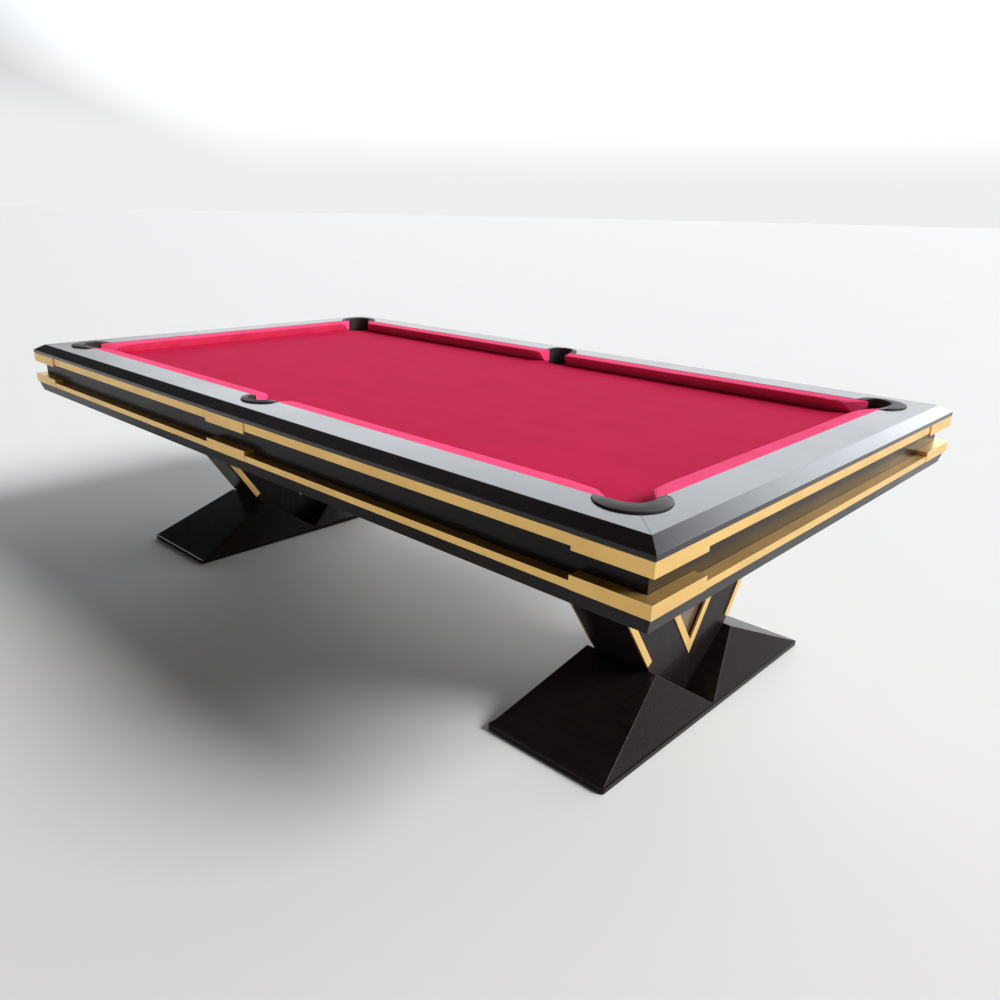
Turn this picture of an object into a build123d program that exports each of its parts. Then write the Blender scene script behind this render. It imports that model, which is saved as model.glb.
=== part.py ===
from build123d import *
from math import atan, cos, radians, sqrt, tan
from os import makedirs

# A nine-foot, six-pocket pool table on two wedge-shaped pedestals.
# Millimetres. +X runs along the table towards its front end, +Y across it, +Z up.
# The origin is on the floor, under the middle of the playing surface.

# ---- playing area -------------------------------------------------------------
play_length = 2540.0          # nose to nose, end to end
play_width = 1270.0           # nose to nose, side to side
ball_d = 57.15
bed_z = 787.0                 # top of the bed cloth
nose_height = 0.635 * ball_d  # cushion nose above the bed
cloth_t = 1.0
slate_t = 25.0
slate_margin = 85.0           # slate beyond the cushion noses
slate_seam = 0.2
slate_count = 3

# ---- rails --------------------------------------------------------------------
cushion_w = 50.0              # nose to rail wood
rail_flat_w = 107.0           # flat top of the rail wood
rail_rise = 43.0              # rail top above the bed
bevel_out = 34.0              # the wide outer bevel: how far it runs out
bevel_drop = 20.5             # and how far it falls
lip_h = 12.0                  # upright lip below the bevel
cushion_gap = 0.3             # cushion underside above the bed cloth
cushion_top_drop = 0.8        # cushion top below the rail wood

# ---- pockets ------------------------------------------------------------------
corner_mouth = 115.0          # between the noses of a corner pocket
corner_facing_deg = 52.0      # facing, measured from square across the cushion
side_mouth = 128.0
side_facing_deg = 14.0
corner_hole_r = 52.0
corner_hole_set = 14.0        # hole centre beyond the nose corner, along the diagonal
corner_rim_r = 82.0
corner_rim_set = 29.0
side_hole_r = 50.0
side_hole_set = 52.0          # hole centre beyond the nose line
side_rim_r = 70.0
side_rim_set = 50.0
rim_h = 8.0                   # casting rim above the rail wood
rim_round = 2.5
rim_sunk = 6.0                # casting rim let into the rail wood
rim_fit = 0.4                 # wood round the sunk rim
collar_t = 10.0               # casting wall that lines the hole
collar_clear = 2.0            # wood and slate around the collar
shelf_clear = 3.0             # slate edge back from the hole under the mouth
bucket_wall = 3.0
bucket_drop = 123.0           # bucket floor below the bed
bucket_gap = 1.0              # bucket top below the slate

# ---- apron with its gilded bands ----------------------------------------------
apron_out = 4.0               # recessed face, out from the edge of the flat rail top
apron_t = 22.0
upper_strip_out = 30.5
upper_strip_h = 25.5
upper_block_out = 34.0
upper_block_h = 33.0
lower_strip_out = 34.5
lower_strip_h = 18.0
lower_block_out = 36.0
lower_block_h = 31.0
ledge_drop = 102.7            # underside of the lower ledge below the bed
corner_block_len = 188.0
middle_block_len = 210.0
skirt_top_out = 31.0
skirt_bottom_out = 21.0
skirt_drop = 139.0
skirt_t = 26.0

# ---- cabinet frame ------------------------------------------------------------
backing_t = 19.0
backing_rim = 110.0
beam_w = 45.0
beam_h = 38.0
beam_in = 50.0                # long beams' centre lines in from the nose lines
end_beam_in = 71.0
backing_clear = 2.0
cross_w = 60.0
cross_h = 36.0
cross_pair_in = 25.0          # cross beams' centres in from the ends of a top plate

# ---- pedestals ----------------------------------------------------------------
pedestal_in = 273.0           # pedestal centre in from the end nose line
plinth_x = 400.0
plinth_y = 1086.0
plinth_t = 15.0
plinth_round = 8.0
glide_t = 3.0
glide_w = 40.0
glide_in = 30.0               # glide ends in from the plinth edge
foot_margin = 4.0             # foot edge in from the plinth edge
foot_wall = 14.0
ridge_half_x = 120.0
ridge_y = 207.0
ridge_z = 168.0
column_half_x = 95.0
column_flare = 0.664          # sideways run of the column edge for each unit of rise
panel_t = 18.0
top_plate_t = 18.0
top_plate_over = 35.0         # top plate beyond the column faces
gold_proud = 4.0
gold_sunk = 3.0               # strips are let this far into the panel
edge_strip_w = 22.5
edge_strip_start = 23.0       # along the edge, up from the waist
v_tip_z = 145.0
v_strip_w = 25.0
v_recess = 12.0
v_insert_t = 3.0

# ---- levelling feet -----------------------------------------------------------
leveller_in = 209.0           # in from the outer edge of the foot
leveller_rest = 0.8           # pad above the floor when wound right in
pad_r = 30.0
pad_t = 5.7
pad_boss_r = 13.0
pad_boss_h = 3.5
pin_r = 6.0
stem_r = 8.0
stem_top_z = 78.0
stem_hex = 24.0
stem_hex_h = 6.0
running_fit = 0.05
socket_floor = 2.0            # rubber left under the stem's pin
pin_clear = 0.3               # under the pin, and under the hexagon
pad_well_r = 36.0             # well through the plinth round the pad
nut_plate = 90.0
nut_plate_t = 6.0
nut_boss_r = 14.0
nut_boss_h = 20.0

# ---- fasteners ----------------------------------------------------------------
bolt_r = 5.0
bolt_head_af = 17.0
bolt_head_h = 6.4
bolt_clear = 0.5
thread_clear = 0.2
rail_bolt_back = 17.0         # behind the back of the cushion
rail_bolt_grip = 25.0         # depth into the rail wood
rail_bolt_end = 190.0         # from a cushion's end at the nose
screw_r = 3.0
screw_head_r = 6.0
screw_head_h = 4.0
screw_len = 60.0
screw_clear = 0.4
pedestal_bolt_edge = 127.0    # in from the sides of the top plate
pedestal_bolt_split = 0.375   # inner bolts, as a share of the outer bolts' distance
pedestal_bolt_in = 18.0       # in from the edge of the top plate
pedestal_bolt_grip = 30.0

# ---- worked-out places --------------------------------------------------------
past = 1.0                    # cutting shapes run this far past a face
rail_top_z = bed_z + rail_rise
ledge_bottom_z = bed_z - ledge_drop
skirt_bottom_z = bed_z - skirt_drop
bucket_floor_z = bed_z - bucket_drop
above_all_z = rail_top_z + 50.0
nose_x = play_length / 2
nose_y = play_width / 2
back_x = nose_x + cushion_w               # where cushion meets rail wood
back_y = nose_y + cushion_w
flat_x = back_x + rail_flat_w             # outer edge of the flat rail top
flat_y = back_y + rail_flat_w
slate_x = nose_x + slate_margin
slate_y = nose_y + slate_margin
slate_top_z = bed_z - cloth_t
slate_bottom_z = slate_top_z - slate_t
backing_bottom_z = slate_bottom_z - backing_t
beam_bottom_z = backing_bottom_z - beam_h
cross_bottom_z = beam_bottom_z - cross_h
column_top_z = cross_bottom_z - top_plate_t
lip_top_z = rail_top_z - bevel_drop
apron_top_z = lip_top_z - lip_h
apron_in = apron_out - apron_t
end_beam_x = nose_x - end_beam_in
beam_y = nose_y - beam_in
pedestal_x = nose_x - pedestal_in
top_plate_x = 2 * (column_half_x + top_plate_over)
top_plate_y = ridge_y + column_flare * (column_top_z - ridge_z)   # half its width
plinth_bottom_z = glide_t
plinth_top_z = plinth_bottom_z + plinth_t
foot_half_x = plinth_x / 2 - foot_margin
foot_far_y = plinth_y / 2 - foot_margin
leveller_y = foot_far_y - leveller_in
bucket_top_z = slate_bottom_z - bucket_gap
diag = 1 / sqrt(2)
corner_nose_x = nose_x - corner_mouth * diag   # where the long cushions' noses end
corner_nose_y = nose_y - corner_mouth * diag
makedirs("parts", exist_ok=True)


# ---- helpers ------------------------------------------------------------------
def block(x, y, z):
    """A box from three (low, high) pairs."""
    size = [high - low for low, high in (x, y, z)]
    middle = [(high + low) / 2 for low, high in (x, y, z)]
    return Pos(*middle) * Box(*size)


def plan_prism(points, z_low, z_high):
    """A plan outline raised between two heights."""
    face = Pos(0, 0, z_low) * Polygon(*points, align=None)
    return extrude(face, amount=z_high - z_low, dir=(0, 0, 1))


def prism_along_x(points, x_low, x_high):
    """A (y, z) outline run along X."""
    face = Plane.YZ.offset(x_low) * Polygon(*points, align=None)
    return extrude(face, amount=x_high - x_low, dir=(1, 0, 0))


def prism_along_y(points, y_low, y_high):
    """An (x, z) outline run along Y."""
    wire = Polyline(*[(x, y_low, z) for x, z in points], close=True)
    return extrude(make_face(wire), amount=y_high - y_low, dir=(0, 1, 0))


def post(x, y, z_low, z_high, radius):
    return Pos(x, y, (z_low + z_high) / 2) * Cylinder(radius, z_high - z_low)


def hex_post(x, y, z_low, z_high, across_flats):
    outline = RegularPolygon(across_flats / 2, 6, major_radius=False)
    return extrude(Pos(x, y, z_low) * outline, amount=z_high - z_low, dir=(0, 0, 1))


def cut(shape, tools):
    for tool in tools:
        shape = shape - tool
    return shape


def flip_y(shape):
    return mirror(shape, about=Plane.XZ)


def flip_x(shape):
    return mirror(shape, about=Plane.YZ)


def both_edges(shape):
    """A piece and its mirror image on the other side of the table."""
    return [shape, flip_y(shape)]


def four_ways(shape):
    """The same shape in all four quadrants."""
    pair = both_edges(shape)
    return pair + [flip_x(one) for one in pair]


def save(name, shapes):
    solids = []
    for shape in shapes:
        solids += list(shape.solids())
    if not solids:
        raise ValueError("nothing in " + name)
    whole = solids[0] if len(solids) == 1 else Compound(children=solids)
    export_step(whole, "parts/" + name + ".step")


# ---- mitred borders -----------------------------------------------------------
mitre_reach_in = rail_flat_w + cushion_w
mitre_reach_out = 100.0


def side_wedge():
    """Everything on the left side up to the corner mitres."""
    far_x, far_y = flat_x + mitre_reach_out, flat_y + mitre_reach_out
    near_x, near_y = flat_x - mitre_reach_in, flat_y - mitre_reach_in
    outline = [(-far_x, -far_y), (far_x, -far_y), (near_x, -near_y), (-near_x, -near_y)]
    return plan_prism(outline, 0, above_all_z)


def end_wedge():
    """Everything at the front end up to the corner mitres."""
    far_x, far_y = flat_x + mitre_reach_out, flat_y + mitre_reach_out
    near_x, near_y = flat_x - mitre_reach_in, flat_y - mitre_reach_in
    outline = [(far_x, -far_y), (far_x, far_y), (near_x, near_y), (near_x, -near_y)]
    return plan_prism(outline, 0, above_all_z)


def side_board(section):
    """An (out, z) section run along the left side, mitred at both ends."""
    reach = flat_x + mitre_reach_out
    outline = [(-(flat_y + out), z) for out, z in section]
    return prism_along_x(outline, -reach, reach) & side_wedge()


def end_board(section):
    """The same section run across the front end, mitred at both ends."""
    reach = flat_y + mitre_reach_out
    outline = [(flat_x + out, z) for out, z in section]
    return prism_along_y(outline, -reach, reach) & end_wedge()


# ---- pockets ------------------------------------------------------------------
corner_hole = (nose_x + corner_hole_set * diag, -nose_y - corner_hole_set * diag)
corner_rim = (nose_x + corner_rim_set * diag, -nose_y - corner_rim_set * diag)
side_hole = (0.0, -nose_y - side_hole_set)
side_rim = (0.0, -nose_y - side_rim_set)
pocket_low_z = bucket_floor_z
pocket_high_z = rail_top_z + rim_h


def inside_rails():
    """The rectangle inside the rail wood, where the castings leave room for the cushions."""
    return block((-back_x, back_x), (-back_y, back_y), (0, above_all_z))


def casting(hole, hole_r, rim, rim_r):
    """A raised rim on the rail wood with a wall that lines the hole down to the bucket."""
    rim_low_z = rail_top_z - rim_sunk
    top = post(*rim, rim_low_z, pocket_high_z, rim_r)
    top = fillet(top.edges().group_by(Axis.Z)[-1], rim_round)
    wall = post(*hole, slate_bottom_z, rim_low_z, hole_r + collar_t)
    bore = post(*hole, 0, pocket_high_z + past, hole_r)
    return (top + wall) - bore - inside_rails()


def pocket_room(hole, hole_r, rim, rim_r):
    """What the rail wood, slate and cloth leave free round a casting."""
    wide = post(*hole, 0, above_all_z, hole_r + collar_t + collar_clear) - inside_rails()
    under_mouth = post(*hole, 0, bed_z + past, hole_r + shelf_clear)
    rim_seat = post(*rim, rail_top_z - rim_sunk, above_all_z, rim_r + rim_fit)
    return [wide, under_mouth, rim_seat]


def bucket(hole, hole_r):
    """A round cup that catches the balls, hung under the slate."""
    outside_r = hole_r + bucket_wall + shelf_clear
    cup = post(*hole, bucket_floor_z, bucket_top_z, outside_r)
    room = post(*hole, bucket_floor_z + bucket_wall, bucket_top_z, outside_r - bucket_wall)
    return cup - room


corner_room = pocket_room(corner_hole, corner_hole_r, corner_rim, corner_rim_r)
side_room = pocket_room(side_hole, side_hole_r, side_rim, side_rim_r)
left_room = corner_room + side_room + [flip_x(one) for one in corner_room]
all_room = left_room + [flip_y(one) for one in left_room]

corner_casting = casting(corner_hole, corner_hole_r, corner_rim, corner_rim_r)
side_casting = casting(side_hole, side_hole_r, side_rim, side_rim_r)
save("pocket_casting_front_left", [corner_casting])
save("pocket_casting_front_right", [flip_y(corner_casting)])
save("pocket_casting_rear_left", [flip_x(corner_casting)])
save("pocket_casting_rear_right", [flip_x(flip_y(corner_casting))])
save("pocket_casting_side_left", [side_casting])
save("pocket_casting_side_right", [flip_y(side_casting)])

corner_bucket = bucket(corner_hole, corner_hole_r)
side_bucket = bucket(side_hole, side_hole_r)
save("corner_pocket_buckets", four_ways(corner_bucket))
save("side_pocket_buckets", [side_bucket, flip_y(side_bucket)])


# ---- bolts that pull the rails down on the slate ------------------------------
rail_bolt_places = []
first_x, last_x = side_mouth / 2 + rail_bolt_end, corner_nose_x - rail_bolt_end
last_y = corner_nose_y - rail_bolt_end
for side in (-1, 1):
    y = side * (back_y + rail_bolt_back)
    for x in (first_x, (first_x + last_x) / 2, last_x):
        rail_bolt_places += [(x, y), (-x, y)]
    x = side * (back_x + rail_bolt_back)
    rail_bolt_places += [(x, -last_y), (x, 0.0), (x, last_y)]


def rail_bolt(x, y):
    head = hex_post(x, y, slate_bottom_z - bolt_head_h, slate_bottom_z, bolt_head_af)
    return head + post(x, y, slate_bottom_z, bed_z + rail_bolt_grip, bolt_r)


rail_bolt_holes = []
rail_bolt_threads = []
for x, y in rail_bolt_places:
    rail_bolt_holes.append(post(x, y, slate_bottom_z - past, bed_z + past, bolt_r + bolt_clear))
    thread_top = bed_z + rail_bolt_grip + past
    rail_bolt_threads.append(post(x, y, bed_z - past, thread_top, bolt_r + thread_clear))
save("rail_bolts", [rail_bolt(x, y) for x, y in rail_bolt_places])


# ---- rail wood ----------------------------------------------------------------
rail_section = [
    (-rail_flat_w, rail_top_z), (0, rail_top_z), (bevel_out, lip_top_z),
    (bevel_out, apron_top_z), (apron_in, apron_top_z), (apron_in, bed_z), (-rail_flat_w, bed_z),
]
left_threads = [t for t, (x, y) in zip(rail_bolt_threads, rail_bolt_places) if y < -back_y]
front_threads = [t for t, (x, y) in zip(rail_bolt_threads, rail_bolt_places) if x > back_x]
left_rail = cut(side_board(rail_section), left_room + left_threads)
front_corner_room = corner_room + [flip_y(one) for one in corner_room]
front_rail = cut(end_board(rail_section), front_corner_room + front_threads)
save("side_rail_left", [left_rail])
save("side_rail_right", [flip_y(left_rail)])
save("end_rail_front", [front_rail])
save("end_rail_rear", [flip_x(front_rail)])


# ---- cushions -----------------------------------------------------------------
nose_z = bed_z + nose_height
cushion_low_z = bed_z + cushion_gap
cushion_high_z = rail_top_z - cushion_top_drop
nose_round = 3.0
nose_face_h = 7.0             # the blunt front of the nose
nose_lean = 2.0               # top of the blunt front below its mirror height
undercut = 24.0               # how far the underside is cut back


def cushion_outline():
    """(depth, z) from the nose back to the rail wood, with a rounded nose."""
    points = [
        (0, nose_z - nose_face_h / 2), (0, nose_z + nose_face_h / 2 - nose_lean),
        (cushion_w, cushion_high_z), (cushion_w, cushion_low_z), (undercut, cushion_low_z),
    ]
    face = make_face(Polyline(*points, close=True))
    noses = face.vertices().sort_by(Axis.X)[:2]
    return fillet(noses, nose_round)


def long_cushion():
    """Front left cushion, from the side pocket to the corner pocket."""
    face = Plane(origin=(0, -nose_y, 0), x_dir=(0, -1, 0), z_dir=(-1, 0, 0)) * cushion_outline()
    bar = extrude(face, amount=flat_x, dir=(1, 0, 0))
    side_run, corner_run = tan(radians(side_facing_deg)), tan(radians(corner_facing_deg))
    outline = []
    for depth in (-past, cushion_w + past):
        ends = [side_mouth / 2 - depth * side_run, corner_nose_x + depth * corner_run]
        pair = [(x, -nose_y - depth) for x in ends]
        outline += pair if depth < 0 else pair[::-1]
    return bar & plan_prism(outline, 0, above_all_z)


def end_cushion():
    """Front cushion, between the two corner pockets."""
    face = Plane(origin=(nose_x, 0, 0), x_dir=(1, 0, 0), z_dir=(0, -1, 0)) * cushion_outline()
    bar = extrude(Pos(0, flat_y, 0) * face, amount=2 * flat_y, dir=(0, -1, 0))
    corner_run = tan(radians(corner_facing_deg))
    outline = []
    for depth in (-past, cushion_w + past):
        y = corner_nose_y + depth * corner_run
        pair = [(nose_x + depth, -y), (nose_x + depth, y)]
        outline += pair if depth < 0 else pair[::-1]
    return bar & plan_prism(outline, 0, above_all_z)


cushion = long_cushion()
save("cushion_left_front", [cushion])
save("cushion_left_rear", [flip_x(cushion)])
save("cushion_right_front", [flip_y(cushion)])
save("cushion_right_rear", [flip_x(flip_y(cushion))])
front_cushion = end_cushion()
save("cushion_end_front", [front_cushion])
save("cushion_end_rear", [flip_x(front_cushion)])


# ---- slate bed ----------------------------------------------------------------
seam_x = slate_x / slate_count
screw_seam_in = 25.0
screw_places = []
for x in (0.0, seam_x - screw_seam_in, seam_x + screw_seam_in,
          (seam_x + end_beam_x) / 2, end_beam_x - beam_w / 4):
    for y in (-beam_y, beam_y):
        screw_places += [(x, y)] if x == 0 else [(x, y), (-x, y)]


def slate_screw(x, y):
    head = post(x, y, slate_top_z - screw_head_h, slate_top_z, screw_head_r)
    return head + post(x, y, slate_top_z - screw_len, slate_top_z - screw_head_h, screw_r)


def screw_hole(x, y):
    head = post(x, y, slate_top_z - screw_head_h, slate_top_z + past, screw_head_r + screw_clear)
    stem = post(x, y, slate_top_z - screw_len - past, slate_top_z, screw_r + screw_clear)
    return head + stem


save("slate_screws", [slate_screw(x, y) for x, y in screw_places])


def bed_layer(x_low, x_high, z_low, z_high, holes):
    """A flat layer of the bed with the pockets and fastener holes cut out."""
    layer = block((x_low, x_high), (-slate_y, slate_y), (z_low, z_high))
    layer = cut(layer, all_room)
    near = [hole for hole in holes
            if x_low < hole.bounding_box().center().X < x_high]
    return cut(layer, near)


slate_holes = rail_bolt_holes + [screw_hole(x, y) for x, y in screw_places]
slate_names = ("slate_rear", "slate_middle", "slate_front")
for index, name in enumerate(slate_names):
    low = -slate_x + 2 * seam_x * index
    half_gap_low = slate_seam / 2 if index > 0 else 0
    half_gap_high = slate_seam / 2 if index < slate_count - 1 else 0
    span = (low + half_gap_low, low + 2 * seam_x - half_gap_high)
    layer = bed_layer(*span, slate_bottom_z, slate_top_z, slate_holes)
    save(name, [max(layer.solids(), key=lambda solid: solid.volume)])

cloth = bed_layer(-slate_x, slate_x, slate_top_z, bed_z, rail_bolt_holes)
save("bed_cloth", [max(cloth.solids(), key=lambda solid: solid.volume)])


# ---- cabinet frame ------------------------------------------------------------
beam_screws = [screw_hole(x, y) for x, y in screw_places]


def backing_frames():
    """Four boards glued in a rectangle under each slate."""
    reach_x = end_beam_x + beam_w / 2
    reach_y = beam_y + beam_w / 2 + backing_clear
    z = (backing_bottom_z, slate_bottom_z)
    stops = [-reach_x, -seam_x, seam_x, reach_x]
    boards = []
    for low, high in zip(stops, stops[1:]):
        low, high = low + backing_clear / 2, high - backing_clear / 2
        long_board = block((low, high), (-reach_y, -reach_y + backing_rim), z)
        boards += both_edges(cut(long_board, beam_screws))
        inner_y = (-reach_y + backing_rim, reach_y - backing_rim)
        boards.append(block((low, low + backing_rim), inner_y, z))
        boards.append(block((high - backing_rim, high), inner_y, z))
    return boards


def long_beams():
    z = (beam_bottom_z, backing_bottom_z)
    reach = end_beam_x + beam_w / 2
    beams = []
    for y in (-beam_y, 0.0, beam_y):
        x = reach if y else reach - beam_w
        beams.append(cut(block((-x, x), (y - beam_w / 2, y + beam_w / 2), z), beam_screws))
    return beams


def end_beams():
    z = (beam_bottom_z, backing_bottom_z)
    y = beam_y - beam_w / 2
    beam = block((end_beam_x - beam_w / 2, end_beam_x + beam_w / 2), (-y, y), z)
    return [beam, flip_x(beam)]


pedestal_bolt_x = top_plate_x / 2 - pedestal_bolt_in
pedestal_bolt_y = top_plate_y - pedestal_bolt_edge
pedestal_bolt_places = []
for x in (pedestal_x - pedestal_bolt_x, pedestal_x + pedestal_bolt_x):
    for y in (pedestal_bolt_split * pedestal_bolt_y, pedestal_bolt_y):
        pedestal_bolt_places += [(x, y), (x, -y), (-x, y), (-x, -y)]
cross_threads = []
for x, y in pedestal_bolt_places:
    top = cross_bottom_z + pedestal_bolt_grip + past
    cross_threads.append(post(x, y, cross_bottom_z - past, top, bolt_r + thread_clear))


def cross_beams():
    """Beams across the table that carry the long beams and reach both aprons."""
    reach = flat_y + apron_in
    cross_pair = top_plate_x / 2 - cross_pair_in
    centres = [pedestal_x / 3, pedestal_x - cross_pair, pedestal_x + cross_pair]
    beams = []
    for x in centres + [-x for x in centres]:
        beam = block((x - cross_w / 2, x + cross_w / 2), (-reach, reach),
                     (cross_bottom_z, beam_bottom_z))
        beams.append(cut(beam, cross_threads))
    return beams


save("slate_backing", backing_frames())
save("frame_long_beams", long_beams() + end_beams())
save("frame_cross_beams", cross_beams())


# ---- apron, gilded bands and skirt --------------------------------------------
def band(out, z_low, z_high):
    """Section of anything fixed on the recessed apron face."""
    return [(apron_out, z_low), (out, z_low), (out, z_high), (apron_out, z_high)]


apron_section = [(apron_in, ledge_bottom_z), (apron_out, ledge_bottom_z),
                 (apron_out, apron_top_z), (apron_in, apron_top_z)]
skirt_in = skirt_bottom_out - skirt_t
skirt_section = [(skirt_in, ledge_bottom_z), (skirt_top_out, ledge_bottom_z),
                 (skirt_bottom_out, skirt_bottom_z), (skirt_in, skirt_bottom_z)]

corner_x = flat_x + bevel_out - corner_block_len    # where the corner blocks stop
corner_y = flat_y + bevel_out - corner_block_len
middle_x = middle_block_len / 2
full_z = (0, above_all_z)


def strips(section):
    """The thin band between the blocks, on all four sides."""
    side = side_board(section) & block((middle_x, corner_x), (-2 * flat_y, 0), full_z)
    end = end_board(section) & block((0, 2 * flat_x), (-corner_y, corner_y), full_z)
    return four_ways(side) + [end, flip_x(end)]


def blocks(section):
    """The L-shaped corner blocks and the block in the middle of each long side."""
    zone = block((corner_x, 2 * flat_x), (-2 * flat_y, 0), full_z)
    zone_end = block((0, 2 * flat_x), (-2 * flat_y, -corner_y), full_z)
    corner = (side_board(section) & zone) + (end_board(section) & zone_end)
    middle = side_board(section) & block((-middle_x, middle_x), (-2 * flat_y, 0), full_z)
    return four_ways(corner) + [middle, flip_y(middle)]


left_apron = side_board(apron_section)
front_apron = end_board(apron_section)
save("apron_side_boards", [left_apron, flip_y(left_apron)])
save("apron_end_boards", [front_apron, flip_x(front_apron)])
upper_strip = band(upper_strip_out, apron_top_z - upper_strip_h, apron_top_z)
upper_block = band(upper_block_out, apron_top_z - upper_block_h, apron_top_z)
lower_strip = band(lower_strip_out, ledge_bottom_z, ledge_bottom_z + lower_strip_h)
lower_block = band(lower_block_out, ledge_bottom_z, ledge_bottom_z + lower_block_h)
save("upper_trim_strips", strips(upper_strip))
save("upper_trim_blocks", blocks(upper_block))
save("lower_ledge_strips", strips(lower_strip))
save("lower_ledge_blocks", blocks(lower_block))
left_skirt = side_board(skirt_section)
front_skirt = end_board(skirt_section)
save("skirt_boards", [left_skirt, flip_y(left_skirt), front_skirt, flip_x(front_skirt)])


# ---- pedestals ----------------------------------------------------------------
nut_places = [(pedestal_x, -leveller_y), (pedestal_x, leveller_y)]


def plinth():
    half_x, half_y = plinth_x / 2, plinth_y / 2
    slab = block((pedestal_x - half_x, pedestal_x + half_x), (-half_y, half_y),
                 (plinth_bottom_z, plinth_top_z))
    slab = fillet(slab.edges().filter_by(Axis.Z), plinth_round)
    wells = [post(x, y, 0, plinth_top_z + past, pad_well_r) for x, y in nut_places]
    return cut(slab, wells)


def foot_form(inset):
    """Left half of the hipped base: a ridge at the waist, slopes to every side.
    The inset moves each sloping face inwards by that much."""
    rise = ridge_z - plinth_top_z
    middle_y = -foot_far_y / 2
    form = block((pedestal_x - foot_half_x, pedestal_x + foot_half_x), (-foot_far_y, 0),
                 (plinth_top_z, ridge_z + past))
    faces = [
        ((pedestal_x, -foot_far_y), (0, -rise, foot_far_y - ridge_y)),
        ((pedestal_x, 0), (0, rise, ridge_y)),
        ((pedestal_x + foot_half_x, middle_y), (rise, 0, foot_half_x - ridge_half_x)),
        ((pedestal_x - foot_half_x, middle_y), (-rise, 0, foot_half_x - ridge_half_x)),
    ]
    for (x, y), outward in faces:
        slope = Plane(origin=(x, y, plinth_top_z), z_dir=outward).offset(-inset)
        form = split(form, bisect_by=slope, keep=Keep.BOTTOM)
    return form


def foot():
    return foot_form(0) - foot_form(foot_wall)


def edge_y(z):
    """Half width of the column at a height."""
    return ridge_y + column_flare * (z - ridge_z)


column_outline = [(0, plinth_top_z), (ridge_y, ridge_z), (edge_y(column_top_z), column_top_z),
                  (-edge_y(column_top_z), column_top_z), (-ridge_y, ridge_z)]
flare = atan(column_flare)


def edge_band(width):
    """A band of the column face along its right edge, from the waist to the top."""
    low, high, across = ridge_z, column_top_z, width / cos(flare)
    return [(edge_y(low) - across, low), (edge_y(low), low),
            (edge_y(high), high), (edge_y(high) - across, high)]


def v_shape(tip_z):
    """A triangle standing on its tip, as steep as the column edges."""
    half = column_flare * (column_top_z - tip_z)
    return [(0, tip_z), (half, column_top_z), (-half, column_top_z)]


v_whole = v_shape(v_tip_z)
v_room = v_shape(v_tip_z + v_strip_w / cos(flare) / column_flare)
face_x = pedestal_x + column_half_x      # outer face of the column


def edge_strip():
    """Gilded strip along one slanted edge of the column's outer face, cut square."""
    start_z = ridge_z + edge_strip_start * cos(flare)
    bar = prism_along_x(edge_band(edge_strip_w), face_x - gold_sunk, face_x + gold_proud)
    square = Plane(origin=(face_x, edge_y(start_z), start_z), z_dir=(0, column_flare, 1))
    return split(bar, bisect_by=square, keep=Keep.TOP)


def v_strips():
    """The gilded V, with a flat open top."""
    outer = prism_along_x(v_whole, face_x - gold_sunk, face_x + gold_proud)
    return outer - prism_along_x(v_room, face_x - gold_sunk, face_x + gold_proud)


def v_insert():
    """Bronze panel at the bottom of the recess inside the V."""
    return prism_along_x(v_room, face_x - v_recess, face_x - v_recess + v_insert_t)


def face_panel():
    """Column face towards the table's end, with beds for the strips and the V recess."""
    panel = prism_along_x(column_outline, face_x - panel_t, face_x)
    strip = edge_strip()
    v_bed = prism_along_x(v_whole, face_x - gold_sunk, face_x)
    recess = prism_along_x(v_room, face_x - v_recess, face_x)
    return cut(panel, [strip, flip_y(strip), v_bed, recess])


def side_panel():
    """Slanted column side between the two face panels."""
    inner_x = pedestal_x - column_half_x
    return prism_along_x(edge_band(panel_t), inner_x + panel_t, face_x - panel_t)


def both_faces(shape):
    """A piece of the outer column face, repeated on the inner face."""
    return [shape, mirror(shape, about=Plane.YZ.offset(pedestal_x))]


def top_plate():
    half_x = top_plate_x / 2
    plate = block((pedestal_x - half_x, pedestal_x + half_x), (-top_plate_y, top_plate_y),
                  (column_top_z, cross_bottom_z))
    holes = [post(x, y, column_top_z - past, cross_bottom_z + past, bolt_r + bolt_clear)
             for x, y in pedestal_bolt_places if x > 0]
    return cut(plate, holes)


def pedestal_bolt(x, y):
    head = hex_post(x, y, column_top_z - bolt_head_h, column_top_z, bolt_head_af)
    return head + post(x, y, column_top_z, cross_bottom_z + pedestal_bolt_grip, bolt_r)


def glides():
    """Rubber strips that carry each plinth."""
    half = plinth_x / 2 - glide_in
    strips_y = (-plinth_y / 2 + glide_w, 0.0, plinth_y / 2 - glide_w)
    return [block((pedestal_x - half, pedestal_x + half), (y - glide_w / 2, y + glide_w / 2),
                  (0, glide_t)) for y in strips_y]


edge_strips = [piece for one in both_edges(edge_strip()) for piece in both_faces(one)]
column = both_faces(face_panel()) + both_edges(side_panel())
front_pedestal = {
    "plinth": [plinth()],
    "left_foot": [foot()],
    "right_foot": [flip_y(foot())],
    "column": column,
    "edge_strips": edge_strips,
    "v_strips": both_faces(v_strips()),
    "v_inserts": both_faces(v_insert()),
}
for name, shapes in front_pedestal.items():
    save("front_" + name, shapes)
    save("rear_" + name, [flip_x(shape) for shape in shapes])
plate = top_plate()
save("pedestal_top_plates", [plate, flip_x(plate)])
save("pedestal_bolts", [pedestal_bolt(x, y) for x, y in pedestal_bolt_places])
front_glides = glides()
save("plinth_glides", front_glides + [flip_x(glide) for glide in front_glides])


# ---- levelling feet -----------------------------------------------------------
pad_top_z = leveller_rest + pad_t
boss_top_z = pad_top_z + pad_boss_h
pin_bottom_z = leveller_rest + socket_floor + pin_clear
hex_bottom_z = boss_top_z + pin_clear


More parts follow.
